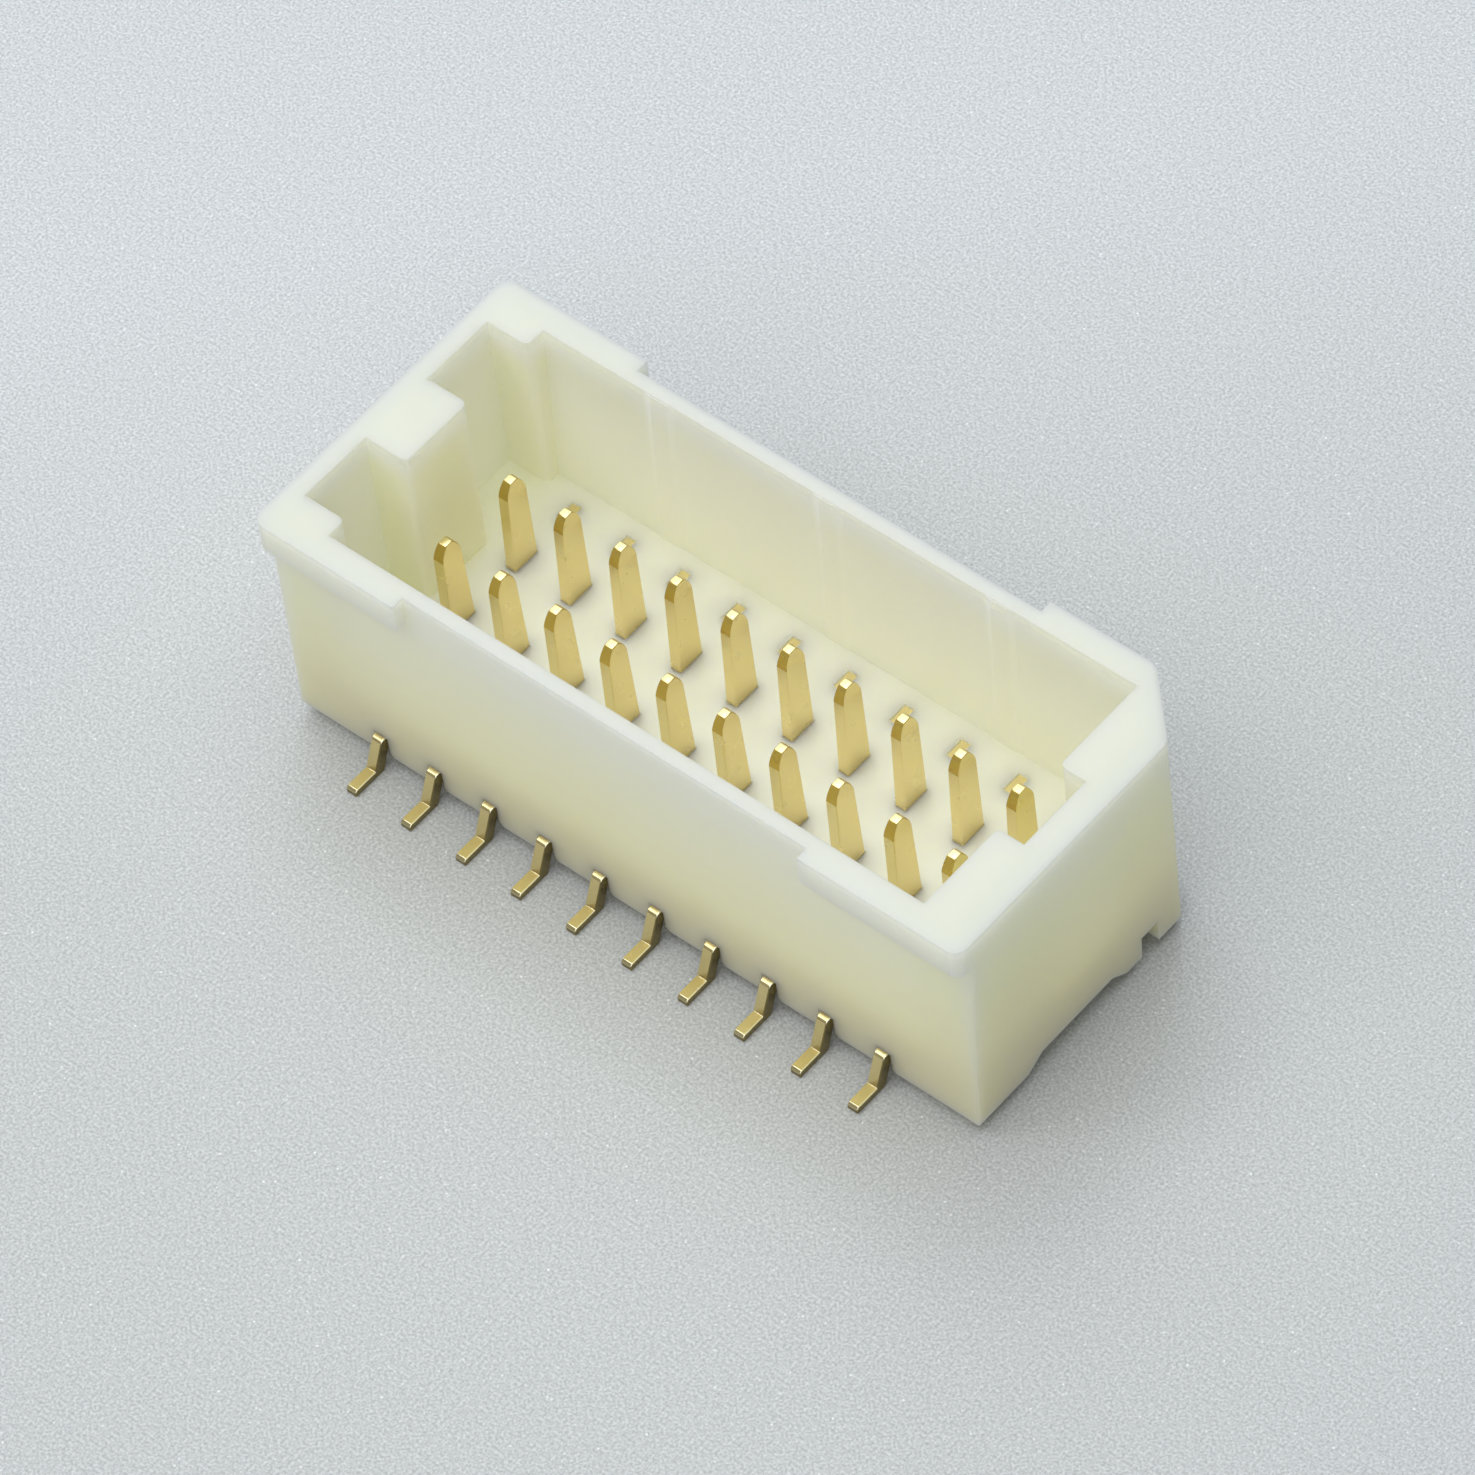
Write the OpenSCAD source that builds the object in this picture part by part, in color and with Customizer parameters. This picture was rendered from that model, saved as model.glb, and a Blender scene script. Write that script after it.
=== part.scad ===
// Two-row surface-mount box header: a moulded box, open at the top, with two rows of
// stamped contacts. Sizes are in millimetres. The origin lies on the board, below the middle
// of the contact array. X runs along the rows, Y across them and Z away from the board.

/* [Contact layout] */
// Number of contacts in each row
per_row = 10; // [4:1:20]
// Spacing of neighbouring contacts along a row
pitch = 1.0; // [0.8:0.05:1.5]
// Distance between the blade centres of the two rows
row_spacing = 1.32; // [1.2:0.02:1.6]

/* [Blades] */
// Thickness of the strip that the contacts are stamped from
strip_t = 0.18; // [0.12:0.01:0.24]
// Width of a blade where it leaves the cavity floor
blade_w = 0.46; // [0.34:0.02:0.56]
// Distance that the blade's inner edge leans outwards by the shoulder
blade_lean = 0.06; // [0:0.01:0.1]
// Distance that the blade's outer edge leans inwards by the shoulder
outer_lean = 0.02; // [0:0.01:0.04]
// Height of a blade above the cavity floor
blade_h = 1.72; // [1.2:0.02:2.6]
// Height of the rounded tip above the blade's shoulders
tip_h = 0.26; // [0.12:0.02:0.4]
// Width of the flat that ends the tip
tip_flat = 0.13; // [0.06:0.01:0.18]
// Thickness of the tip, which is coined thinner than the strip
tip_t = 0.14; // [0.08:0.01:0.18]
// Distance that a side of the tip bows out of the straight line
tip_bow = 0.025; // [0:0.005:0.04]

/* [Anchor posts] */
// Distance from the blade to the post that holds the contact in the floor
post_offset = 0.62; // [0.3:0.02:0.7]
// Width of a post
post_w = 0.33; // [0.2:0.01:0.4]
// Thickness of a post, which is coined thinner than the strip
post_t = 0.16; // [0.1:0.01:0.18]
// Depth of a post's top below the cavity floor
post_sink = 0.03; // [0:0.01:0.1]

/* [Leads] */
// Height of the arm's top above the board
arm_top = 0.6; // [0.5:0.02:0.8]
// Depth of the arm that runs under the floor and out of the wall
arm_h = 0.2; // [0.14:0.01:0.24]
// Length of the arm outside the wall, up to its bend
arm_out = 0.105; // [0.06:0.005:0.3]
// Distance that the leg slopes outwards on its way down
leg_slope = 0.17; // [0.05:0.01:0.3]
// Thickness of the leg along Y
leg_t = 0.16; // [0.12:0.01:0.2]
// Length of the foot in front of the leg
foot_len = 0.425; // [0.25:0.005:0.7]
// Thickness of the foot
foot_t = 0.12; // [0.08:0.01:0.16]
// Outer radius of the bend at the arm's end
bend_r = 0.1; // [0.04:0.01:0.14]

/* [Housing] */
// Width over the two long walls
body_w = 4.91; // [4.8:0.01:5.6]
// Gap between the board and the underside
standoff = 0.24; // [0.18:0.01:0.3]
// Thickness of the floor
floor_t = 1.13; // [0.95:0.01:1.5]
// Depth of the cavity
cavity_d = 3.0; // [2.0:0.05:4.0]
// Thickness of a long wall at the rim
wall_rim = 0.22; // [0.15:0.01:0.25]
// Thickness of a long wall at the cavity floor
wall_floor = 0.335; // [0.26:0.005:0.4]
// Distance from the last contact to the outside of the plain end
plain_end = 1.53; // [1.4:0.01:2.0]
// Distance from the first contact to the outside of the keyed end, at the underside
keyed_end = 1.64; // [1.54:0.01:2.2]
// Angle that the keyed end leans outwards
end_draft = 2; // [0:0.25:4]
// Radius of the plain end's corners below the collar
plain_r = 0.04; // [0.02:0.01:0.2]
// Radius of the keyed end's corner on the near side
keyed_r = 0.2; // [0.05:0.01:0.4]
// Leg of the 45 degree cut at the corner that marks the first contact
corner_cut = 0.93; // [0.5:0.01:1.1]
// Radius where the cut meets the faces beside it
corner_cut_r = 0.3; // [0.1:0.05:0.5]

/* [Collars] */
// Distance that the collars stand out of the long walls
collar_out = 0.205; // [0.1:0.005:0.3]
// Distance that the collar stands out of the plain end
collar_end_out = 0.08; // [0.05:0.01:0.2]
// Height of the collars below the rim
collar_h = 0.54; // [0.3:0.02:0.9]
// Distance that the collars run inwards past the outermost contacts
collar_in = 0.95; // [0.3:0.05:1.4]
// Radius of the collar's corners at the plain end
collar_r = 0.22; // [0.1:0.01:0.4]

/* [End keys] */
// Thickness of the plain end's wall behind its recesses
plain_wall = 0.23; // [0.15:0.01:0.4]
// Distance from the last contact to the face of the boss in the plain end
boss_clear = 0.57; // [0.4:0.01:0.7]
// Width of the boss in the plain end
boss_w = 1.28; // [0.6:0.02:1.6]
// Distance from the rim's inner edge to the side of a corner block
block_w = 0.335; // [0.2:0.005:0.6]
// Distance from the first contact to the inner face of the keyed end
keyed_clear = 0.87; // [0.6:0.005:1.0]
// Width of the key slot in the keyed end
key_w = 1.3; // [0.6:0.02:2.0]
// Distance from the key slot's middle to the array's middle, towards the near side
key_shift = 0.06; // [0:0.01:0.2]
// Depth of the key slot in the keyed end
key_d = 0.45; // [0.2:0.01:0.5]
// Radius of the standing corners of the boss, the blocks and the key slot
key_r = 0.1; // [0.02:0.01:0.15]

/* [Wall ribs] */
// Number of ribs on the far wall's inner face
rib_count = 3; // [1:2:5]
// Width of a rib along its flat top
rib_w = 0.3; // [0.1:0.02:0.5]
// Width of the slope on each side of a rib
rib_slope = 0.12; // [0.04:0.02:0.2]
// Height of a rib above the wall's face
rib_out = 0.02; // [0.01:0.005:0.05]

/* [Underside] */
// Clearance round the blades in the floor, and above the arms
fit_gap = 0.005; // [0.002:0.001:0.03]
// Clearance round the posts in the floor
post_gap = 0.008; // [0.004:0.001:0.03]
// Clearance on each side of the arms in their grooves
groove_gap = 0.04; // [0.02:0.005:0.06]
// Width and height of the flare at a groove's mouth
groove_flare = 0.06; // [0.02:0.01:0.08]
// Width of the shallow relief under each end
relief_w = 1.5; // [0.8:0.05:1.8]
// Height of the relief
relief_h = 0.21; // [0.1:0.01:0.3]
// Distance over which the relief slopes back down to the end feet
relief_slope = 0.3; // [0.1:0.02:0.4]
// Distance from the relief's middle to the array's middle, towards the near side
relief_shift = 0.35; // [0:0.01:0.4]
// Distance from the middle to the notch under the keyed end
notch_y = 1.03; // [0.9:0.01:1.2]
// Width of the notch
notch_w = 0.37; // [0.2:0.01:0.4]
// Height of the notch
notch_h = 0.43; // [0.2:0.01:0.6]
// Depth of the notch along X
notch_d = 0.4; // [0.2:0.01:0.5]

/* [Hidden] */
$fn = 48;
// Overlap that makes cuts run clear of the faces they open
eps = 0.05;
// Half of the contact array's length
half_array = (per_row - 1) * pitch / 2;
// Heights above the board
floor_z = standoff + floor_t;
rim_z = floor_z + cavity_d;
// Half widths of the walls and the cavity
body_y = body_w / 2;
rim_in_y = body_y - wall_rim;
floor_in_y = body_y - wall_floor;
collar_y = body_y + collar_out;
// Ends of the housing along X
plain_x = -half_array - plain_end;
keyed_x = half_array + keyed_end;
keyed_rim_x = keyed_x + (rim_z - standoff) * tan(end_draft);
collar_x = plain_x - collar_end_out;
// Inner faces of the ends
recess_x = plain_x + plain_wall;
boss_x = -half_array - boss_clear;
keyed_in_x = half_array + keyed_clear;
// Places across a contact, from the middle of the header outwards
blade_in_y = row_spacing / 2 - blade_w / 2;
blade_out_y = row_spacing / 2 + blade_w / 2;
post_in_y = blade_out_y + post_offset;
post_out_y = post_in_y + post_w;
bend_y = body_y + arm_out;
heel_y = bend_y + leg_slope;
toe_y = heel_y + foot_len;
shoulder_in_y = blade_in_y + blade_lean;
shoulder_out_y = blade_out_y - outer_lean;
shoulder_z = floor_z + blade_h - tip_h;
tip_z = floor_z + blade_h;
tip_y = (shoulder_in_y + shoulder_out_y) / 2;
// Top of the grooves under the floor
groove_top = arm_top + fit_gap;
// Distance between the ribs on the far wall
rib_pitch = 3 * pitch;

PLASTIC = "#dcdcc8";
GOLD = "#cdb96e";

function two_digits(n) = str(n < 10 ? "0" : "", n);
function near_name(i) = str("contact_near_", two_digits(i));
function far_name(i) = str("contact_far_", two_digits(i));
// The first contact is the one beside the cut corner
function contact_x(i) = half_array - (i - 1) * pitch;
// Points of an arc about (cx, cy), from angle a to angle b
function arc(cx, cy, r, a, b, n = 6) = [for (k = [0:n]) let (t = a + (b - a) * k / n)
    [cx + r * cos(t), cy + r * sin(t)]];
// Points from a to b on a curve that bows out to the left of the straight line
function bowed(a, b, rise, n = 4) = [for (k = [0:n]) let (t = k / n, left = [a.y - b.y, b.x - a.x] / norm(b - a))
    a + (b - a) * t + left * 4 * rise * t * (1 - t)];

// A flat shape drawn with Y to the right and Z up, given the length x1 - x0 along X
module along_x(x0, x1) translate([x0, 0, 0]) rotate([90, 0, 90]) linear_extrude(x1 - x0) children();

// A flat shape drawn with X to the right and Z up, given the length y1 - y0 along Y
module along_y(y0, y1) translate([0, y1, 0]) rotate([90, 0, 0]) linear_extrude(y1 - y0) children();

module box_between(a, b) translate(a) cube(b - a);

// What has to go from a square corner at the origin, for a shape that lies in the +X +Y quarter
module corner_waste(r) difference() {
    translate([-eps, -eps]) square(r + eps);
    translate([r, r]) circle(r);
}

// ---- Contacts ----

// Side view of the blade: edges that lean together, and a tip with bowed sides and a flat end
module blade_profile() polygon(concat(
    [[blade_in_y, arm_top - arm_h], [blade_in_y, floor_z]],
    bowed([shoulder_in_y, shoulder_z], [tip_y - tip_flat / 2, tip_z], tip_bow),
    bowed([tip_y + tip_flat / 2, tip_z], [shoulder_out_y, shoulder_z], tip_bow),
    [[blade_out_y, floor_z], [blade_out_y, arm_top - arm_h]]
));

// End view of the blade, which is as thick as the strip and thinner at the tip
module blade_end_view() polygon([
    [-strip_t / 2, 0],
    [-strip_t / 2, shoulder_z],
    [-tip_t / 2, tip_z],
    [tip_t / 2, tip_z],
    [strip_t / 2, shoulder_z],
    [strip_t / 2, 0]
]);

// Side view of the arm, the sloping leg and the foot
module lead_profile() polygon(concat(
    [[blade_out_y - eps, arm_top]],
    arc(bend_y - bend_r, arm_top - bend_r, bend_r, 90, 20),
    [[heel_y, foot_t], [toe_y - foot_t / 3, foot_t], [toe_y, foot_t * 2 / 3], [toe_y, 0]],
    [[heel_y - leg_t, 0], [bend_y - leg_t, arm_top - arm_h], [blade_out_y - eps, arm_top - arm_h]]
));

module contact() color(GOLD) union() {
    intersection() {
        along_x(-strip_t / 2, strip_t / 2) blade_profile();
        along_y(blade_in_y - eps, blade_out_y + eps) blade_end_view();
    }
    box_between([-post_t / 2, post_in_y, arm_top - eps], [post_t / 2, post_out_y, floor_z - post_sink]);
    along_x(-strip_t / 2, strip_t / 2) lead_profile();
}

// ---- Housing ----

// End view of the whole length: upright at the plain end, leaning out at the keyed end
module length_profile(x0) polygon([
    [x0, standoff], [keyed_x, standoff], [keyed_rim_x, rim_z], [x0, rim_z]
]);

// The cut at the corner beside the first contact, through the full height
module corner_mark() {
    reach = corner_cut + corner_cut_r * tan(22.5);
    translate([keyed_rim_x, collar_y, 0]) linear_extrude(rim_z + eps) polygon(concat(
        [[eps, eps], [-reach, eps]],
        arc(-reach, -corner_cut_r, corner_cut_r, 90, 45),
        arc(-corner_cut_r, -reach, corner_cut_r, 45, 0),
        [[eps, -reach]]
    ));
}

// The plan of the walls, or of the collars where y is their half width; r rounds the plain end
module plan(x0, y, r) difference() {
    translate([x0, -y]) square([keyed_rim_x - x0, 2 * y]);
    translate([x0, -y]) corner_waste(r);
    translate([x0, y]) mirror([0, 1]) corner_waste(r);
    translate([keyed_rim_x, -y]) mirror([1, 0]) corner_waste(keyed_r);
}

module walls() intersection() {
    translate([0, 0, standoff]) linear_extrude(rim_z - standoff) plan(plain_x, body_y, plain_r);
    along_y(-body_y - eps, body_y + eps) length_profile(plain_x - eps);
}

module collars() intersection() {
    translate([0, 0, rim_z - collar_h]) linear_extrude(collar_h) difference() {
        plan(collar_x, collar_y, collar_r);
        translate([-half_array + collar_in, -collar_y - eps])
            square([2 * (half_array - collar_in), 2 * (collar_y + eps)]);
    }
    along_y(-collar_y - eps, collar_y + eps) length_profile(collar_x - eps);
}

// The long walls lean apart from the floor to the rim
module cavity_profile(top = rim_z + eps) {
    lean = (rim_in_y - floor_in_y) / cavity_d;
    top_y = floor_in_y + lean * (top - floor_z);
    polygon([[-floor_in_y, floor_z], [floor_in_y, floor_z], [top_y, top], [-top_y, top]]);
}

module cavity() {
    along_x(boss_x, keyed_in_x) cavity_profile();
    for (side = [0, 1]) mirror([0, side, 0]) recess();
    translate([0, -key_shift, 0]) key_slot();
}

// The recess in the plain end, between the boss and the far corner block
module recess() {
    inner = boss_w / 2;
    outer = rim_in_y - block_w;
    box_between([recess_x, inner, floor_z], [boss_x + eps, outer, rim_z + eps]);
    standing_corner(boss_x, inner, -1, -1);
    standing_corner(boss_x, outer, -1, 1);
}

module key_slot() {
    box_between([keyed_in_x - eps, -key_w / 2, floor_z], [keyed_in_x + key_d, key_w / 2, rim_z + eps]);
    standing_corner(keyed_in_x, key_w / 2, 1, 1);
    standing_corner(keyed_in_x, -key_w / 2, 1, -1);
}

// Rounds an upright corner at (x, y) of solid that lies towards dx and dy
module standing_corner(x, y, dx, dy) translate([x, y, floor_z])
    mirror([dx < 0 ? 1 : 0, 0, 0]) mirror([0, dy < 0 ? 1 : 0, 0])
        linear_extrude(cavity_d + eps) corner_waste(key_r);

// Plan of a rib on a wall whose face lies along Y = 0: a low hump with sloping sides
module rib_plan() polygon([
    [-rib_w / 2 - rib_slope, eps],
    [-rib_w / 2 - rib_slope, 0],
    [-rib_w / 2, -rib_out],
    [rib_w / 2, -rib_out],
    [rib_w / 2 + rib_slope, 0],
    [rib_w / 2 + rib_slope, eps]
]);

// The faint ribs stand on the far wall's inner face and follow its lean
module wall_ribs() {
    lean = atan((rim_in_y - floor_in_y) / cavity_d);
    for (k = [-(rib_count - 1) / 2 : (rib_count - 1) / 2])
        translate([k * rib_pitch, floor_in_y, floor_z - eps / 2]) rotate([-lean, 0, 0])
            linear_extrude(cavity_d) rib_plan();
}

// The opening that a blade or a post fills in the floor, with a gap all round
module floor_hole(y0, y1, t, gap) box_between(
    [-t / 2 - gap, y0 - gap, groove_top - eps], [t / 2 + gap, y1 + gap, floor_z + eps]);

// The groove under the floor for an arm, open through the wall's lower edge
module arm_groove() {
    half = strip_t / 2 + groove_gap;
    along_y(blade_in_y - fit_gap, body_y + eps) polygon([
        [-half, groove_top],
        [half, groove_top],
        [half, standoff + groove_flare],
        [half + groove_flare, standoff],
        [half + groove_flare, standoff - eps],
        [-half - groove_flare, standoff - eps],
        [-half - groove_flare, standoff],
        [-half, standoff + groove_flare]
    ]);
}

module contact_seat() {
    floor_hole(blade_in_y, blade_out_y, strip_t, fit_gap);
    floor_hole(post_in_y, post_out_y, post_t, post_gap);
    arm_groove();
}

// The shallow relief that leaves feet at the corners of an end
module end_relief(x0, x1) along_x(x0, x1) translate([-relief_shift, standoff]) polygon([
    [-relief_w / 2 - relief_slope, -eps],
    [-relief_w / 2 - relief_slope, 0],
    [-relief_w / 2, relief_h],
    [relief_w / 2, relief_h],
    [relief_w / 2 + relief_slope, 0],
    [relief_w / 2 + relief_slope, -eps]
]);

module keyed_end_notch() box_between(
    [keyed_x - notch_d, notch_y, standoff - eps], [keyed_x + eps, notch_y + notch_w, standoff + notch_h]);

module housing() color(PLASTIC) union() {
    difference() {
        union() {
            walls();
            collars();
        }
        cavity();
        corner_mark();
        for (i = [1:per_row], side = [0, 1])
            translate([contact_x(i), 0, 0]) mirror([0, side, 0]) contact_seat();
        end_relief(keyed_in_x, keyed_x + eps);
        end_relief(plain_x - eps, boss_x);
        keyed_end_notch();
    }
    wall_ribs();
}

housing();
for (i = [1:per_row]) {
    translate([contact_x(i), 0, 0]) mirror([0, 1, 0]) contact();
    translate([contact_x(i), 0, 0]) contact();
}
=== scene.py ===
# %% [markdown]
# # A small box header, dressed for its picture
# A box header is the half of a connector that is soldered to a circuit board. This one is a
# moulded ivory box, about twelve millimetres long, with two rows of gold-plated contacts.
# The solids come from the CAD model. Blender adds what CAD leaves plain: the soft edges that
# a mould leaves, the rolled edges of stamped metal, and the finish of both.

# %% Load the frame
import math

import bmesh
import bpy
from mathutils import Matrix, Vector


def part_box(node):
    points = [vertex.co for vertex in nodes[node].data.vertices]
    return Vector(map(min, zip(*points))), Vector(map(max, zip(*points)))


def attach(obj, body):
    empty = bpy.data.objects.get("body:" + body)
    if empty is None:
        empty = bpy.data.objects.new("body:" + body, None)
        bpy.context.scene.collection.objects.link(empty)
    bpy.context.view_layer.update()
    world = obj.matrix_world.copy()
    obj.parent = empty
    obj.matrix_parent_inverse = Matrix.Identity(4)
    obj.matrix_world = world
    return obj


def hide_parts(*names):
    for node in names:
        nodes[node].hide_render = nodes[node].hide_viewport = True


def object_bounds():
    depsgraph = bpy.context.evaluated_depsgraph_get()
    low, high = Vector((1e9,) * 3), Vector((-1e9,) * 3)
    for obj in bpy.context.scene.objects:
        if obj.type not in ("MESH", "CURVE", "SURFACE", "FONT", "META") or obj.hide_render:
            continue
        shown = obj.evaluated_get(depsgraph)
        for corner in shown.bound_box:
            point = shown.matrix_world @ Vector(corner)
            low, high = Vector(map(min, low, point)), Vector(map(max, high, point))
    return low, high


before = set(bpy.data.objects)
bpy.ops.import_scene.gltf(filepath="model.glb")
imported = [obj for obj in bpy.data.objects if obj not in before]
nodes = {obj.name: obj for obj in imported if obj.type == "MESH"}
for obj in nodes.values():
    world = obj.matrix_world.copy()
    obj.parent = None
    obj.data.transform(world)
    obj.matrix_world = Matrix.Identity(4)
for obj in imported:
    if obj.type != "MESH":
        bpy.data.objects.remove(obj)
cad_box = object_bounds()
MM = 0.001
low, high = Vector(cad_box[0]), Vector(cad_box[1])
print("CAD box in mm:", [round(side / MM, 3) for side in high - low], "nodes:", len(nodes))

# %% [markdown]
# ## Heights and places
# Every later step needs to know where the rim, the walls and the contacts are. They are worked out
# from the boxes of the CAD nodes, so that a change of size in CAD moves the finish too.

# %% Read the driving places from the frame
TEMPLATE_NODE = "contact_far_01"
NEXT_NODE = "contact_far_02"
# How far the middle of a wall lies inside the housing's box: an end wall's along X, a long one's along Y
WALL_INSETS = {"X": 0.26 * MM, "Y": 0.36 * MM}

contact_names = sorted(name for name in nodes if name.startswith("contact_"))
housing_low, housing_high = (Vector(corner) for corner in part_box("housing"))
rim_z = housing_high.z
underside_z = housing_low.z
wall_middles = {"X": -housing_low.x - WALL_INSETS["X"], "Y": -housing_low.y - WALL_INSETS["Y"]}
first_low, first_high = (Vector(corner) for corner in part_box(TEMPLATE_NODE))
strip_thickness = first_high.x - first_low.x
first_place = (first_low.x + first_high.x) / 2
blade_top_z = first_high.z
pitch = first_low.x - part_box(NEXT_NODE)[0][0]
print("rim at", round(rim_z / MM, 3), "mm, strip", round(strip_thickness / MM, 3), "mm thick")
print("contacts:", len(contact_names), "at a pitch of", round(pitch / MM, 3), "mm")
print("middles of the walls in mm:", {axis: round(place / MM, 3) for axis, place in wall_middles.items()})

# %% [markdown]
# ## Camera
# A product like this is pictured with a long lens from well above. The camera is set by where it
# looks, from which side and how high, how far off it stands, and how much it is rolled.

# %% Set the camera
CAMERA_AIM = Vector((0.403, -0.406, 2.185)) * MM
CAMERA_AZIMUTH = math.radians(46.179)
CAMERA_ELEVATION = math.radians(51.987)
CAMERA_ROLL = math.radians(-7.795)
CAMERA_DISTANCE = 136.0 * MM
CAMERA_LENS_MM = 245.34
NEAREST_SEEN = 10 * MM
FARTHEST_SEEN = 5000 * MM


def place_camera():
    back = Vector((
        math.sin(CAMERA_AZIMUTH) * math.cos(CAMERA_ELEVATION),
        -math.cos(CAMERA_AZIMUTH) * math.cos(CAMERA_ELEVATION),
        math.sin(CAMERA_ELEVATION),
    ))
    right = Vector((0, 0, 1)).cross(back).normalized()
    up = back.cross(right)
    turned = Matrix((right, up, back)).transposed() @ Matrix.Rotation(CAMERA_ROLL, 3, "Z")
    data = bpy.data.cameras.new("camera")
    data.lens = CAMERA_LENS_MM
    data.clip_start = NEAREST_SEEN
    data.clip_end = FARTHEST_SEEN
    camera = bpy.data.objects.new("camera", data)
    camera.matrix_world = Matrix.Translation(CAMERA_AIM + back * CAMERA_DISTANCE) @ turned.to_4x4()
    bpy.context.scene.collection.objects.link(camera)
    bpy.context.scene.camera = camera
    return camera


camera = place_camera()
print("camera at", [round(v / MM, 2) for v in camera.matrix_world.translation], "mm")

# %% [markdown]
# ## Light
# Small shiny parts are lit by large soft lamps, so that metal has something broad to reflect and
# plastic shows its own colour. The key lamp stands behind the box, opposite the camera, where the
# flat rim mirrors it. A wider lamp straight above lights the cavity, and a third one the long wall
# at the front. A small warm lamp from the left draws glints on the coined tips and the leads. The
# world adds an even light from everywhere.

# %% Hang the lamps
# Each lamp has its place from the middle of the part in mm, its side in mm, its watts and colour.
LAMPS = {
    "key_lamp": ((-66, 64, 118), 110, 0.055, (0.90, 0.97, 1.0)),
    "overhead_lamp": ((0, 0, 150), 150, 0.135, (0.92, 0.965, 1.0)),
    "front_lamp": ((25, -92, 105), 110, 0.05, (0.98, 0.98, 0.96)),
    "glint_lamp": ((-62, -66, 110), 45, 0.02, (1.0, 0.98, 0.94)),
}
WORLD_COLOUR = (0.90, 0.95, 1.0, 1)
WORLD_STRENGTH = 0.28


def square_lamp(name, place, aim, side, watts, colour):
    data = bpy.data.lights.new(name, "AREA")
    data.shape = "SQUARE"
    data.size = side
    data.energy = watts
    data.color = colour
    facing = (aim - place).to_track_quat("-Z", "Y").to_matrix().to_4x4()
    lamp = bpy.data.objects.new(name, data)
    lamp.matrix_world = Matrix.Translation(place) @ facing
    bpy.context.scene.collection.objects.link(lamp)


def light_the_world():
    world = bpy.data.worlds.new("studio")
    world.use_nodes = True
    background = world.node_tree.nodes["Background"]
    background.inputs["Color"].default_value = WORLD_COLOUR
    background.inputs["Strength"].default_value = WORLD_STRENGTH
    bpy.context.scene.world = world


middle = (low + high) / 2
for lamp_name, (away, side, watts, colour) in LAMPS.items():
    square_lamp(lamp_name, middle + Vector(away) * MM, middle, side * MM, watts, colour)
light_the_world()
bpy.context.scene.view_settings.view_transform = "Standard"

# %% [markdown]
# ## Helpers for node trees
# A node's input either takes another node's output or holds a plain value. One helper hides that
# difference, and a second adds a node and feeds its inputs by name. With those two, the materials
# and the row tree below read like recipes.

# %% Node helpers
def feed(tree, socket, value):
    """Links a node's output to the socket, or sets the socket to a plain value."""
    if isinstance(value, bpy.types.NodeSocket):
        tree.links.new(value, socket)
    else:
        socket.default_value = value


def add_node(tree, kind, **inputs):
    """Adds a node and feeds its inputs by name, with _ where the name has a space."""
    node = tree.nodes.new(kind)
    for name, value in inputs.items():
        feed(tree, node.inputs[name.replace("_", " ")], value)
    return node


def calculate(tree, operation, *values):
    """One Math node, such as ADD or MULTIPLY."""
    node = tree.nodes.new("ShaderNodeMath")
    node.operation = operation
    for socket, value in zip(node.inputs, values):
        feed(tree, socket, value)
    return node.outputs[0]


# %% [markdown]
# ## Helpers for materials
# Every finish below is a node tree that starts from one Principled shader. Patterns read Object
# coordinates in metres, so a noise scale of 1000 gives features about a millimetre across. Most of
# what a noise gives lies between 0.3 and 0.7, so that is the span that ramps and ranges start from.

# %% Material helpers
def new_material(name):
    material = bpy.data.materials.new(name)
    material.use_nodes = True
    tree = material.node_tree
    place = tree.nodes.new("ShaderNodeTexCoord").outputs["Object"]
    return material, tree, tree.nodes["Principled BSDF"], place


def noise(tree, place, per_metre, detail=2.0, rough=0.5):
    node = add_node(
        tree, "ShaderNodeTexNoise", Vector=place, Scale=per_metre, Detail=detail, Roughness=rough
    )
    return node.outputs["Fac"]


def span(tree, value, to_low, to_high, from_low=0.3, from_high=0.7):
    """Turns a range of numbers into another one, and stops at its ends."""
    node = add_node(
        tree, "ShaderNodeMapRange", Value=value,
        From_Min=from_low, From_Max=from_high, To_Min=to_low, To_Max=to_high,
    )
    return node.outputs["Result"]


def ramp(tree, value, stops):
    """Turns a number into a colour, from stops of (number, colour)."""
    node = add_node(tree, "ShaderNodeValToRGB", Fac=value)
    elements = node.color_ramp.elements
    while len(elements) < len(stops):
        elements.new(0.5)
    for element, (position, colour) in zip(elements, stops):
        element.position = position
        element.color = (*colour, 1)
    return node.outputs["Color"]


def blend_colours(tree, factor, one, other, how="MIX"):
    """Goes from one colour to the other as the factor goes from 0 to 1."""
    node = tree.nodes.new("ShaderNodeMix")
    node.data_type = "RGBA"
    node.blend_type = how
    # Sockets 6 and 7 are the two colours. By name, the number sockets would come first.
    for index, value in ((0, factor), (6, one), (7, other)):
        feed(tree, node.inputs[index], value)
    return node.outputs[2]


def bump(tree, shader, height, strength, distance):
    node = add_node(tree, "ShaderNodeBump", Height=height, Strength=strength, Distance=distance)
    tree.links.new(node.outputs["Normal"], shader.inputs["Normal"])
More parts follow.
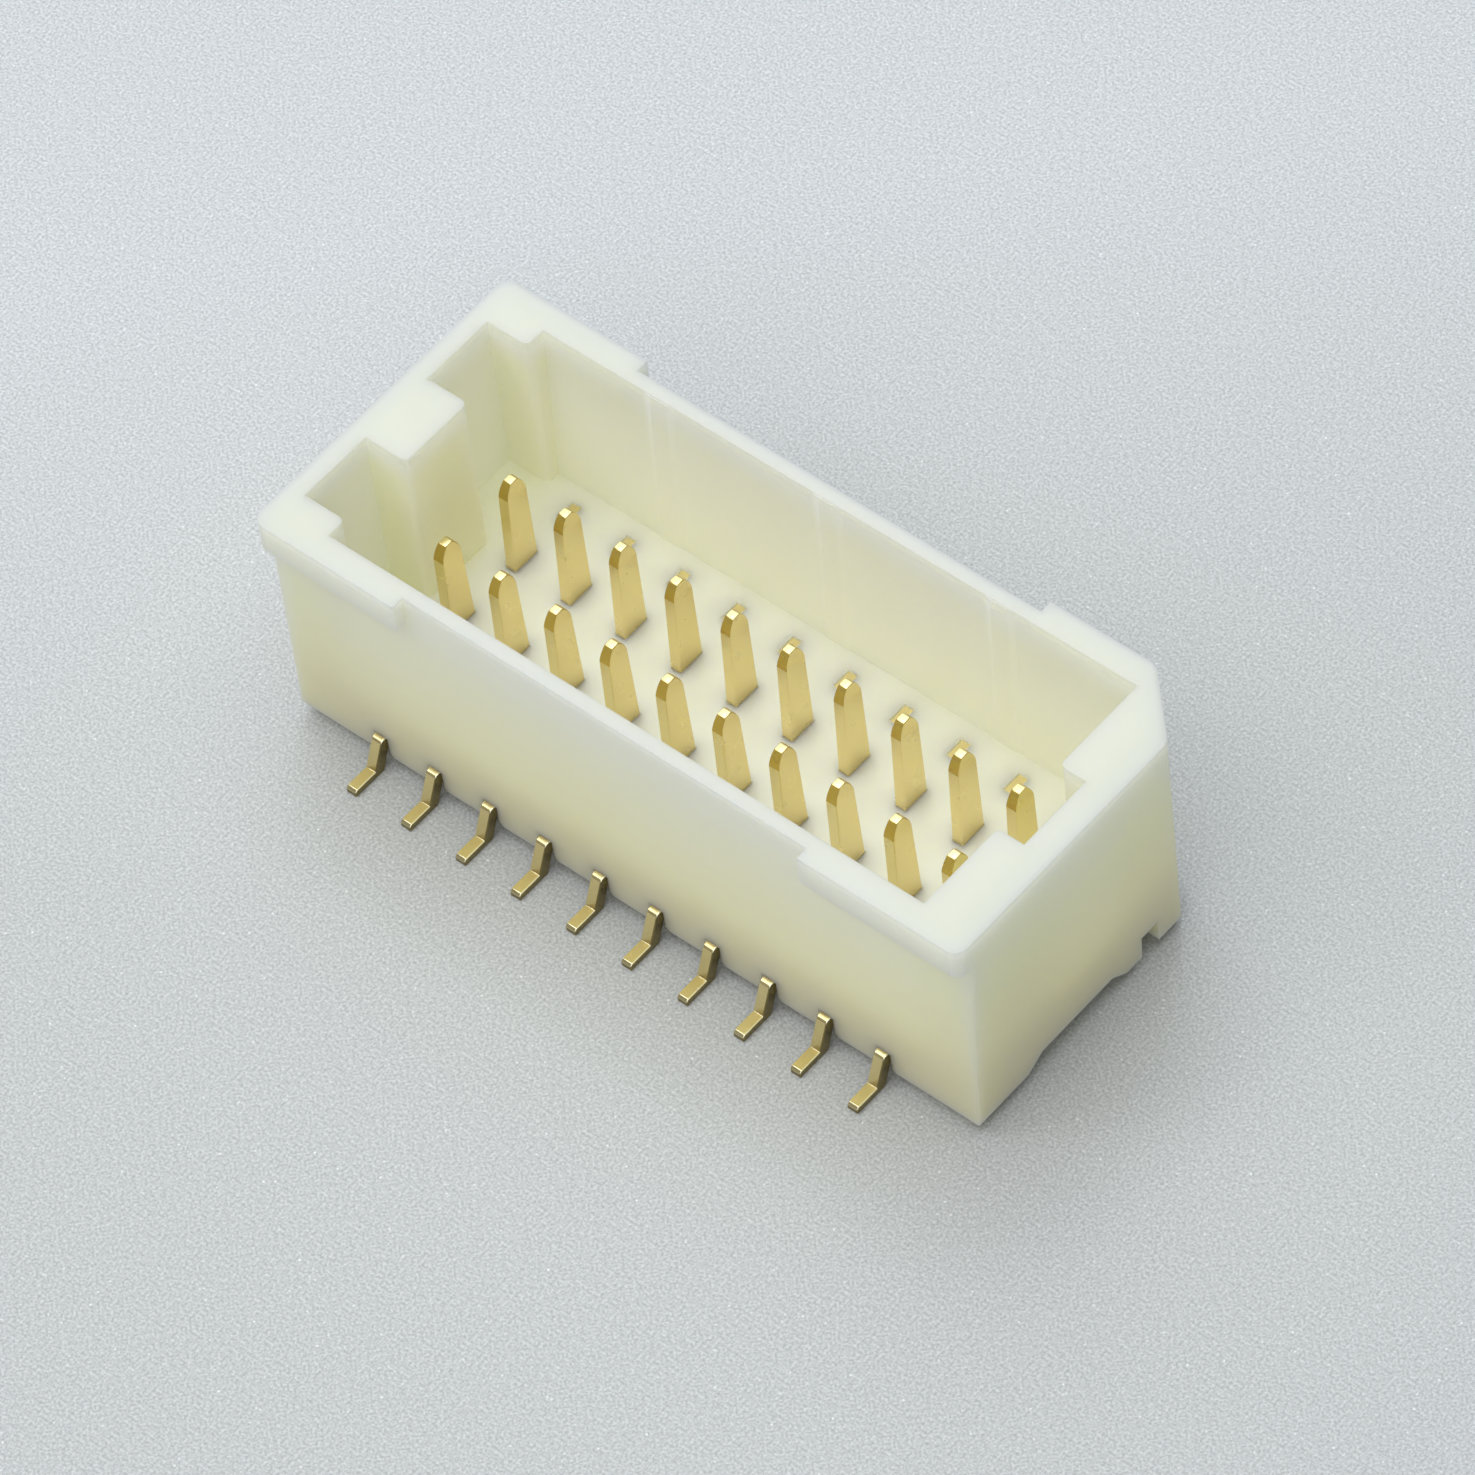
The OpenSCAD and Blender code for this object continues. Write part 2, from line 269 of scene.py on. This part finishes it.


# %% [markdown]
# ## The floor's finish
# The header stands on a plain pale grey sheet with a satin finish. Its fine grains are darker or
# lighter than their neighbours, and here and there a painted glint, a near white speck, shows. The
# glints are the middles of Voronoi cells, and each cell's own colour decides how much its glint
# shows, if at all. The sheet is painted lighter towards the back, for the key lamp's sheen there,
# and darker in front and round the header, which deepens the shade that the header casts.

# %% Floor material
SHEET_GRAINS_PER_METRE = 24000
SHEET_GREYS = [(0.3, (0.46, 0.47, 0.475)), (0.5, (0.615, 0.625, 0.63)), (0.7, (0.78, 0.79, 0.795))]
SHEET_GRAIN_HEIGHT = 0.02 * MM
SHEET_ROUGHNESS = 0.42
# Painted light: the sheet is painted darker in front and round the header, lighter towards the back.
FADE_DIRECTION = (-0.72, 0.69, 0)
FADE_LENGTH = 11 * MM
PAINTED_FALLOFF_STOPS = [(0, (0.865, 0.86, 0.85)), (1, (1, 1, 1))]
# Painted glints: near white specks mixed into the sheet's colour.
GLINTS_PER_METRE = 9000
GLINT_EDGE = (0.06, 0.2)
GLINT_CHOICE = (0.62, 0.95)
PAINTED_GLINT_COLOUR = (0.95, 0.95, 0.95, 1)


def painted_light_falloff(tree, place):
    towards_back = add_node(tree, "ShaderNodeVectorMath")
    towards_back.operation = "DOT_PRODUCT"
    feed(tree, towards_back.inputs[0], place)
    feed(tree, towards_back.inputs[1], FADE_DIRECTION)
    share = span(tree, towards_back.outputs["Value"], 0, 1, 0, FADE_LENGTH)
    return ramp(tree, share, PAINTED_FALLOFF_STOPS)


def painted_glint_mask(tree, place):
    """Up to 1 in the middle of a few chosen Voronoi cells, 0 elsewhere."""
    cells = add_node(tree, "ShaderNodeTexVoronoi", Vector=place, Scale=GLINTS_PER_METRE)
    near_middle = span(tree, cells.outputs["Distance"], 1, 0, *GLINT_EDGE)
    chosen = span(tree, cells.outputs["Color"], 0, 1, *GLINT_CHOICE)
    return calculate(tree, "MULTIPLY", near_middle, chosen)


def satin_sheet():
    material, tree, shader, place = new_material("satin_sheet")
    grain = noise(tree, place, SHEET_GRAINS_PER_METRE, 2.0, 0.6)
    greys = ramp(tree, grain, SHEET_GREYS)
    # The greys are multiplied by the painted light falloff, and the painted glints go on top.
    sheet = blend_colours(tree, 1.0, greys, painted_light_falloff(tree, place), "MULTIPLY")
    with_painted_glints = blend_colours(tree, painted_glint_mask(tree, place), sheet, PAINTED_GLINT_COLOUR)
    tree.links.new(with_painted_glints, shader.inputs["Base Color"])
    shader.inputs["Roughness"].default_value = SHEET_ROUGHNESS
    bump(tree, shader, grain, 0.3, SHEET_GRAIN_HEIGHT)
    return material


# %% [markdown]
# ## The floor
# The sheet is a stage, not a part of the object: it only catches the shadow and shows where the
# feet meet the board's plane. It lies a hair below the feet, so that no two faces share a plane.

# %% Make the floor
FLOOR_SIDE = 800 * MM
FLOOR_DROP = 0.002 * MM


def make_floor():
    half = FLOOR_SIDE / 2
    level = low.z - FLOOR_DROP
    corners = [(-half, -half, level), (half, -half, level), (half, half, level), (-half, half, level)]
    mesh = bpy.data.meshes.new("floor")
    mesh.from_pydata(corners, [], [(0, 1, 2, 3)])
    mesh.materials.append(satin_sheet())
    floor = bpy.data.objects.new("floor", mesh)
    bpy.context.scene.collection.objects.link(floor)


make_floor()
print("floor:", round(FLOOR_SIDE / MM), "mm square")

# %% [markdown]
# ## A clean copy of a CAD solid
# A CAD node arrives as loose triangles. To round its edges, the copy needs real edges: points that
# lie together are merged, and triangles in one plane are dissolved into whole faces.

# %% Copy helper
MERGE_DISTANCE = 0.0002 * MM
SAME_PLANE = math.radians(0.5)


def clean_copy(node_name):
    mesh = bmesh.new()
    mesh.from_mesh(nodes[node_name].data)
    bmesh.ops.remove_doubles(mesh, verts=mesh.verts, dist=MERGE_DISTANCE)
    bmesh.ops.dissolve_limit(
        mesh, angle_limit=SAME_PLANE, use_dissolve_boundaries=False, verts=mesh.verts, edges=mesh.edges
    )
    return mesh


# %% [markdown]
# ## Edges rounded by weight
# A Bevel modifier can give every edge its own radius: each edge carries a weight from 0 to 1, and
# the modifier's width is the largest radius. All edges are cut in one go, so corners where a wide
# and a narrow rounding meet are closed neatly. The new faces are shaded smooth, and so are the
# narrow strips that a CAD fillet of the housing is made of. All other faces stay flat. The material
# index tells the two kinds apart, because the modifier can set it on the faces that it makes.

# %% Bevel helper
SHARPEST_IN_ARC = math.radians(25)
FLATTEST_IN_ARC = math.radians(1)
FLAT, ROUND = 0, 1


def in_an_arc(face, widest_strip):
    """True for a narrow face that meets two neighbours at a small angle, as in a CAD fillet."""
    turns = [edge.calc_face_angle(0) for edge in face.edges if edge.is_manifold]
    bends = sum(1 for turn in turns if FLATTEST_IN_ARC < turn < SHARPEST_IN_ARC)
    longest = max(edge.calc_length() for edge in face.edges)
    return bends >= 2 and face.calc_area() / longest < widest_strip


def bevelled(data, widest, steps):
    """New mesh data, with each edge of the old cut back by its weight times the widest radius."""
    holder = bpy.data.objects.new("rounding", data)
    bpy.context.scene.collection.objects.link(holder)
    bevel = holder.modifiers.new("rounding", "BEVEL")
    bevel.limit_method = "WEIGHT"
    bevel.width = widest
    bevel.segments = steps
    bevel.material = ROUND
    bevel.miter_outer = "MITER_ARC"
    made = bpy.data.meshes.new_from_object(holder.evaluated_get(bpy.context.evaluated_depsgraph_get()))
    bpy.data.objects.remove(holder)
    return made


def round_edges(mesh, radius_of, steps, widest_strip=0):
    """New mesh data in which each edge is rounded by radius_of(edge), where that is above 0."""
    radii = [radius_of(edge) for edge in mesh.edges]
    widest = max(radii)
    for face in mesh.faces:
        face.smooth = False
        face.material_index = ROUND if in_an_arc(face, widest_strip) else FLAT
    data = bpy.data.meshes.new("rounding")
    mesh.to_mesh(data)
    mesh.free()
    weights = data.attributes.new("bevel_weight_edge", "FLOAT", "EDGE")
    weights.data.foreach_set("value", [radius / widest for radius in radii])
    for name in ("flat_faces", "round_faces"):
        data.materials.append(bpy.data.materials.new(name))
    made = bevelled(data, widest, steps)
    for face in made.polygons:
        face.use_smooth = face.material_index == ROUND
        face.material_index = 0
    return made


# %% [markdown]
# ## The housing's plastic
# The box is moulded in an unfilled ivory nylon. Light goes a good way in before it comes out, so
# the thin rim looks white and walls glow from the light behind them. Subsurface scattering does
# that by itself, with red and green travelling further than blue. Light and shade are also painted
# into the colour: the outside is painted lighter and whiter towards the rim, for more of that glow,
# and darker and yellower towards the feet, for the shade near the floor. The inside of the cavity
# is painted one pale, bright colour, for the light that bounces from wall to wall there, and is
# whiter just below the rim. On both, the top faces of the rim are painted darker, against the
# lamps' sheen on them. The mould leaves a very fine, even grain, and the melt slow clouds that are
# barely darker.

# %% Nylon material
# Heights go from 0 at the underside to 1 at the rim.
# Painted light and shade outside: lighter and whiter up to just below the rim, darker and yellower
# towards the feet, and darker on the rim's top faces, against the lamps' sheen.
OUTSIDE_IVORY_AND_PAINTED_LIGHT = [
    (0.0, (0.79, 0.725, 0.47)),
    (0.2, (0.82, 0.765, 0.52)),
    (0.4, (0.905, 0.86, 0.60)),
    (0.7, (0.97, 0.935, 0.67)),
    (0.975, (0.985, 0.98, 0.79)),
    (1.0, (0.74, 0.745, 0.655)),
]
# Painted light inside the cavity: pale and bright for the light bouncing between the walls, whiter just
# below the rim, and darker on the rim's top faces, against the lamps' sheen.
INSIDE_IVORY_AND_PAINTED_LIGHT = [
    (0.2, (0.985, 0.97, 0.77)),
    (0.3, (0.98, 0.965, 0.75)),
    (0.85, (0.98, 0.965, 0.75)),
    (0.95, (0.98, 0.98, 0.86)),
    (1.0, (0.75, 0.755, 0.665)),
]
CLOUD_TINT = [(0.3, (0.98, 0.98, 0.96)), (0.7, (1.0, 1.0, 1.0))]
CLOUDS_PER_METRE = 420
MOULD_GRAINS_PER_METRE = 14000
MOULD_GRAIN_HEIGHT = 0.01 * MM
MOULD_ROUGHNESS = (0.40, 0.52)
LIGHT_DEPTH = 1.0 * MM
MASK_EDGE = 0.1 * MM


def coordinate(tree, place, axis):
    return add_node(tree, "ShaderNodeSeparateXYZ", Vector=place).outputs[axis]


def inside_cavity(tree, place):
    """1 between the middles of the long walls and of the end walls, 0 outside them."""
    masks = []
    for axis, half in wall_middles.items():
        away = calculate(tree, "ABSOLUTE", coordinate(tree, place, axis))
        masks.append(span(tree, away, 1, 0, half - MASK_EDGE, half + MASK_EDGE))
    return calculate(tree, "MULTIPLY", *masks)


def ivory_nylon():
    material, tree, shader, place = new_material("ivory_nylon")
    rise = span(tree, coordinate(tree, place, "Z"), 0, 1, underside_z, rim_z)
    outside = ramp(tree, rise, OUTSIDE_IVORY_AND_PAINTED_LIGHT)
    inside = ramp(tree, rise, INSIDE_IVORY_AND_PAINTED_LIGHT)
    # Inside the cavity the painted bright ramp is used, outside the painted glow and shade ramp.
    ivory = blend_colours(tree, inside_cavity(tree, place), outside, inside)
    clouds = ramp(tree, noise(tree, place, CLOUDS_PER_METRE), CLOUD_TINT)
    tree.links.new(blend_colours(tree, 1.0, ivory, clouds, "MULTIPLY"), shader.inputs["Base Color"])
    grain = noise(tree, place, MOULD_GRAINS_PER_METRE, 3.0, 0.6)
    tree.links.new(span(tree, grain, *MOULD_ROUGHNESS), shader.inputs["Roughness"])
    bump(tree, shader, grain, 0.12, MOULD_GRAIN_HEIGHT)
    shader.inputs["Subsurface Weight"].default_value = 0.9
    shader.inputs["Subsurface Radius"].default_value = (1.0, 1.0, 0.75)
    shader.inputs["Subsurface Scale"].default_value = LIGHT_DEPTH
    shader.inputs["IOR"].default_value = 1.5
    return material


# %% [markdown]
# ## Moulded edges
# A mould can't make a sharp edge, and this box is softest at its outer corners and round its rim.
# Edges are sorted by how far they turn, how long they are and where they lie. The upright outer
# corners get the widest rounding, the rim and the collars below it the next, and edges lower in the
# cavity a small one. What starts at the cavity's floor or lies under it stays crisp.

# %% Housing with moulded edges
RIM_R = 0.09 * MM
CORNER_R = 0.12 * MM
WALL_R = 0.04 * MM
MOULD_STEPS = 4
SHARPEST_LEFT_ALONE = math.radians(25)
SHORTEST_ROUNDED = 0.1 * MM
LOWEST_ROUNDED = 1.5 * MM
SHORTEST_CORNER = 2.2 * MM
COLLAR_DROP = 0.6 * MM
WIDEST_STRIP = 0.14 * MM


def beyond_walls(edge):
    """True for an edge that lies outside the middles of both a long wall and an end wall."""
    points = [v.co for v in edge.verts]
    past_end = min(abs(point.x) for point in points) > wall_middles["X"]
    return past_end and min(abs(point.y) for point in points) > wall_middles["Y"]


def moulded_radius(edge):
    """The radius that the mould leaves on this edge, or 0 where it is left as it is."""
    if not edge.is_manifold or edge.calc_face_angle(0) < SHARPEST_LEFT_ALONE:
        return 0
    if edge.calc_length() < SHORTEST_ROUNDED:
        return 0
    bottom, top = sorted(v.co.z for v in edge.verts)
    if beyond_walls(edge) and top - bottom > SHORTEST_CORNER:
        return CORNER_R
    if bottom > rim_z - COLLAR_DROP:
        return RIM_R
    return WALL_R if bottom > LOWEST_ROUNDED else 0


def finish_piece(data, name, material):
    """Puts finished mesh data into the scene as a piece of the part's one body."""
    data.name = name
    data.materials.clear()
    data.materials.append(material)
    piece = bpy.data.objects.new(name, data)
    bpy.context.scene.collection.objects.link(piece)
    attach(piece, "root")
    return piece


box = clean_copy("housing")
rounded = sum(1 for edge in box.edges if moulded_radius(edge) > 0)
print("housing edges to round:", rounded, "of", len(box.edges))
box_data = round_edges(box, moulded_radius, MOULD_STEPS, WIDEST_STRIP)
housing = finish_piece(box_data, "moulded_housing", ivory_nylon())
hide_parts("housing")
print("housing:", len(housing.data.polygons), "faces")

# %% [markdown]
# ## The contacts' metal
# The contacts are copper alloy strip, stamped and plated with a thin layer of gold. Gold is a metal
# shader with a warm colour and a low roughness, both a little uneven from place to place. Each
# contact carries a number called tone, from -1 to 1, which makes its plating a little deeper or
# paler than its neighbour's. Three more numbers are 1 on faces that get painted light and shade:
# the slopes of the coined tip get painted shade, a deeper gold, for the shaded inner wall that they
# mirror. On the lead below the cavity's floor, the faces that look sideways and the cut ends get
# painted shade in dull brown, for the shaded floor that they mirror, and the other rolled edges
# get a painted highlight in pale bright gold.

# %% Gold material
PLATING = [(0.3, (0.845, 0.70, 0.345)), (0.7, (0.86, 0.72, 0.365))]
PATCHES_PER_METRE = 3500
PLATING_ROUGHNESS = (0.24, 0.28)
TONES = [(0, (0.95, 0.93, 0.86)), (1, (1.0, 1.0, 1.0))]
# Colours of the painted shade and the painted highlight on the marked faces.
PAINTED_TIP_SHADE_TINT = (0.72, 0.62, 0.34, 1)
PAINTED_LEAD_SHADE_COLOUR = (0.28, 0.225, 0.095, 1)
PAINTED_LEAD_HIGHLIGHT_COLOUR = (1.0, 0.92, 0.62, 1)
LEAD_TOP = 1.25 * MM
LEAD_TOP_EDGE = 0.05 * MM


def named_number(tree, name):
    node = tree.nodes.new("ShaderNodeAttribute")
    node.attribute_name = name
    return node.outputs["Fac"]


def lead_mark(tree, place, name):
    """The number that marks a face, kept only on the lead below the cavity's floor."""
    on_lead = span(tree, coordinate(tree, place, "Z"), 1, 0, LEAD_TOP - LEAD_TOP_EDGE, LEAD_TOP)
    return calculate(tree, "MULTIPLY", named_number(tree, name), on_lead)


def plated_gold():
    material, tree, shader, place = new_material("plated_gold")
    patch = noise(tree, place, PATCHES_PER_METRE)
    tone = ramp(tree, span(tree, named_number(tree, "tone"), 0, 1, -1, 1), TONES)
    plating = blend_colours(tree, 1.0, ramp(tree, patch, PLATING), tone, "MULTIPLY")
    # Painted shade on the tip's slopes: the plating darkened to a deeper gold.
    coined = blend_colours(tree, 1.0, plating, PAINTED_TIP_SHADE_TINT, "MULTIPLY")
    colour = blend_colours(tree, named_number(tree, "coined"), plating, coined)
    # Painted shade on the lead's sideways faces and cut ends: dull brown.
    colour = blend_colours(tree, lead_mark(tree, place, "painted_lead_shade"), colour, PAINTED_LEAD_SHADE_COLOUR)
    # Painted highlight on the lead's rolled edges: pale bright gold.
    colour = blend_colours(tree, lead_mark(tree, place, "painted_lead_highlight"), colour, PAINTED_LEAD_HIGHLIGHT_COLOUR)
    tree.links.new(colour, shader.inputs["Base Color"])
    tree.links.new(span(tree, patch, *PLATING_ROUGHNESS), shader.inputs["Roughness"])
    shader.inputs["Metallic"].default_value = 1.0
    return material


gold = plated_gold()
print("gold:", len(gold.node_tree.nodes), "nodes")

# %% [markdown]
# ## One contact with rolled edges
# When a press cuts strip, the side that the punch enters is drawn over into a soft roll, and the
# other side stays crisp. The tip is coined round, so that it finds its way into the plug. One
# contact is rounded like that, each face that gets painted shade or a painted highlight is marked,
# and the whole is moved to the middle, ready to be set out along both rows. The strip's thickness
# lies along X, and on the far row the rolled side looks towards -X, away from the keyed end.

# %% Template contact
ROLL_R = 0.045 * MM
LEAD_ROLL_R = 0.075 * MM
CRISP_R = 0.018 * MM
TIP_R = 0.04 * MM
ROLL_STEPS = 4
TIP_RISE = 0.3 * MM
TIP_FLAT_DEPTH = 0.01 * MM
CUT_END_TOP = 0.2 * MM
# Parts of a face's normal along an axis, which are 1 where the face looks straight along it
LOOKS_STRAIGHT = 0.98
LOOKS_UP = 0.5
LEAST_SLOPE, MOST_SLOPE = 0.15, 0.8
rolled_edges_end = first_place - 0.3 * strip_thickness
rolled_faces_end = first_place - 0.2 * strip_thickness
tip_flat_z = blade_top_z - TIP_FLAT_DEPTH


def stamped_radius(edge):
    """The radius that stamping leaves on this edge, or 0 where its two faces hardly turn."""
    if not edge.is_manifold or edge.calc_face_angle(0) < SHARPEST_LEFT_ALONE:
        return 0
    if min(v.co.z for v in edge.verts) > tip_flat_z:
        return TIP_R
    if max(v.co.x for v in edge.verts) > rolled_edges_end:
        return CRISP_R
    return LEAD_ROLL_R if max(v.co.z for v in edge.verts) < LEAD_TOP else ROLL_R


def painted_light_mark(face):
    """Which painted shade or painted highlight this face carries, if any."""
    # The tip's slopes get painted shade.
    if face.center.z > blade_top_z - TIP_RISE:
        return "coined" if LEAST_SLOPE < face.normal.z < MOST_SLOPE else ""
    # Faces that look sideways, drawn-over faces that look sideways, and cut ends get painted shade.
    drawn_over = face.use_smooth and face.center.x < rolled_faces_end and face.normal.z < LOOKS_UP
    cut_end = face.normal.y > LOOKS_STRAIGHT and face.center.z < CUT_END_TOP
    if abs(face.normal.x) > LOOKS_STRAIGHT or drawn_over or cut_end:
        return "painted_lead_shade"
    # The other smooth rolled faces get a painted highlight.
    return "painted_lead_highlight" if face.use_smooth else ""


def make_template():
    data = round_edges(clean_copy(TEMPLATE_NODE), stamped_radius, ROLL_STEPS)
    marks = [painted_light_mark(face) for face in data.polygons]
    # One attribute each for the painted tip shade, the painted lead shade and the painted lead highlight.
    for name in ("coined", "painted_lead_shade", "painted_lead_highlight"):
        values = [1.0 if mark == name else 0.0 for mark in marks]
        data.attributes.new(name, "FLOAT", "FACE").data.foreach_set("value", values)
    for face in data.polygons:
        if face.center.z > tip_flat_z:
            face.use_smooth = True
    data.transform(Matrix.Translation((-first_place, 0, 0)))
    template = bpy.data.objects.new("template_contact", data)
    bpy.context.scene.collection.objects.link(template)
    return template


template = make_template()
print("template contact:", len(template.data.polygons), "faces")

# %% [markdown]
# ## Two rows from one contact
# Both rows hold the same stamping: the near row is the far row turned half round. A Geometry Nodes
# tree says that rule once. It lays a line of points at the pitch, keeps the one with the wanted
# number, turns the contact there and gives it a tone that its number and the seed decide. The
# tree is run once for each contact, so that every contact stays a piece of its own.

# %% Geometry Nodes tree for a row
ROW_INPUTS = {
    "Contact": "Object",
    "Count": "Int",
    "Number": "Int",
    "First place": "Float",
    "Pitch": "Float",
    "Turn": "Float",
    "Seed": "Int",
    "Metal": "Material",
}


def points_in_a_row(tree, given):
    """Points that start at the first place and go one pitch at a time towards -X."""
    start = add_node(tree, "ShaderNodeCombineXYZ", X=given["First place"]).outputs[0]
    back = calculate(tree, "MULTIPLY", given["Pitch"], -1)
    step = add_node(tree, "ShaderNodeCombineXYZ", X=back).outputs[0]
    line = add_node(
        tree, "GeometryNodeMeshLine", Count=given["Count"], Start_Location=start, Offset=step
    )
    return line.outputs["Mesh"]


def has_wanted_number(tree, given):
    """True at the point whose index, counted from 1, is the contact's number."""
    index = add_node(tree, "GeometryNodeInputIndex").outputs[0]
    same = tree.nodes.new("FunctionNodeCompare")
    same.data_type = "INT"
    same.operation = "EQUAL"
    # Sockets 2 and 3 are the two whole numbers that are compared.
    feed(tree, same.inputs[2], calculate(tree, "ADD", index, 1))
    feed(tree, same.inputs[3], given["Number"])
    return same.outputs["Result"]


def tone_for(tree, given):
    """A number from -1 to 1 that the contact's number and the seed decide."""
    chance = add_node(tree, "FunctionNodeRandomValue", ID=given["Number"], Seed=given["Seed"])
    chance.data_type = "FLOAT"
    # Socket 2 is the least number. The most stays at 1.
    feed(tree, chance.inputs[2], -1)
    return chance.outputs[1]


def contact_row_tree():
    tree = bpy.data.node_groups.new("contact_row", "GeometryNodeTree")
    for name, kind in ROW_INPUTS.items():
        tree.interface.new_socket(name, in_out="INPUT", socket_type="NodeSocket" + kind)
    tree.interface.new_socket("Geometry", in_out="OUTPUT", socket_type="NodeSocketGeometry")
    given = add_node(tree, "NodeGroupInput").outputs
    placed = add_node(
        tree, "GeometryNodeInstanceOnPoints",
        Points=points_in_a_row(tree, given),
        Selection=has_wanted_number(tree, given),
        Instance=add_node(tree, "GeometryNodeObjectInfo", Object=given["Contact"]).outputs["Geometry"],
        Rotation=add_node(tree, "ShaderNodeCombineXYZ", Z=given["Turn"]).outputs[0],
    )
    real = add_node(tree, "GeometryNodeRealizeInstances", Geometry=placed.outputs["Instances"])
    toned = add_node(
        tree, "GeometryNodeStoreNamedAttribute",
        Geometry=real.outputs["Geometry"], Name="tone", Value=tone_for(tree, given),
    )
    plated = add_node(
        tree, "GeometryNodeSetMaterial", Geometry=toned.outputs["Geometry"], Material=given["Metal"]
    )
    add_node(tree, "NodeGroupOutput", Geometry=plated.outputs["Geometry"])
    return tree


row_tree = contact_row_tree()
print("row tree:", len(row_tree.nodes), "nodes")

# %% [markdown]
# ## Run the tree for every contact
# A modifier's inputs are set by identifier, because two of them could share a name. The mesh that
# the modifier makes is kept as plain data, and the empty object that held it is thrown away.

# %% Set out the contacts
ROW_SEED = {"far": 11, "near": 23}
ROW_TURN = {"far": 0.0, "near": math.pi}


def set_inputs(modifier, values):
    for item in modifier.node_group.interface.items_tree:
        if item.item_type == "SOCKET" and item.in_out == "INPUT":
            modifier[item.identifier] = values[item.name]


def contact_from_tree(node_name):
    row, number = node_name.split("_")[1:]
    holder = bpy.data.objects.new("holder", bpy.data.meshes.new("holder"))
    bpy.context.scene.collection.objects.link(holder)
    modifier = holder.modifiers.new("row", "NODES")
    modifier.node_group = row_tree
    set_inputs(modifier, {
        "Contact": template,
        "Count": len(contact_names) // 2,
        "Number": int(number),
        "First place": first_place,
        "Pitch": pitch,
        "Turn": ROW_TURN[row],
        "Seed": ROW_SEED[row],
        "Metal": gold,
    })
    data = bpy.data.meshes.new_from_object(holder.evaluated_get(bpy.context.evaluated_depsgraph_get()))
    bpy.data.objects.remove(holder)
    piece = finish_piece(data, node_name + "_gold", gold)
    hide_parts(node_name)
    return piece


contacts = [contact_from_tree(name) for name in contact_names]
bpy.data.objects.remove(template)
print("contacts:", len(contacts), "with", len(contacts[0].data.polygons), "faces each")

# %% [markdown]
# ## Check the places
# A contact made by the tree has to lie where its CAD node lies. The corners of both boxes are
# compared, and the largest difference is printed in micrometres.

# %% Compare each contact with its node
MICROMETRE = 0.001 * MM


def box_difference(piece, node_name):
    points = [v.co for v in piece.data.vertices]
    corners = [Vector([pick(p[axis] for p in points) for axis in range(3)]) for pick in (min, max)]
    return max((mine - Vector(cad)).length for mine, cad in zip(corners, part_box(node_name)))


worst = max(box_difference(piece, name) for piece, name in zip(contacts, contact_names))
print("largest difference:", round(worst / MICROMETRE, 2), "micrometres")
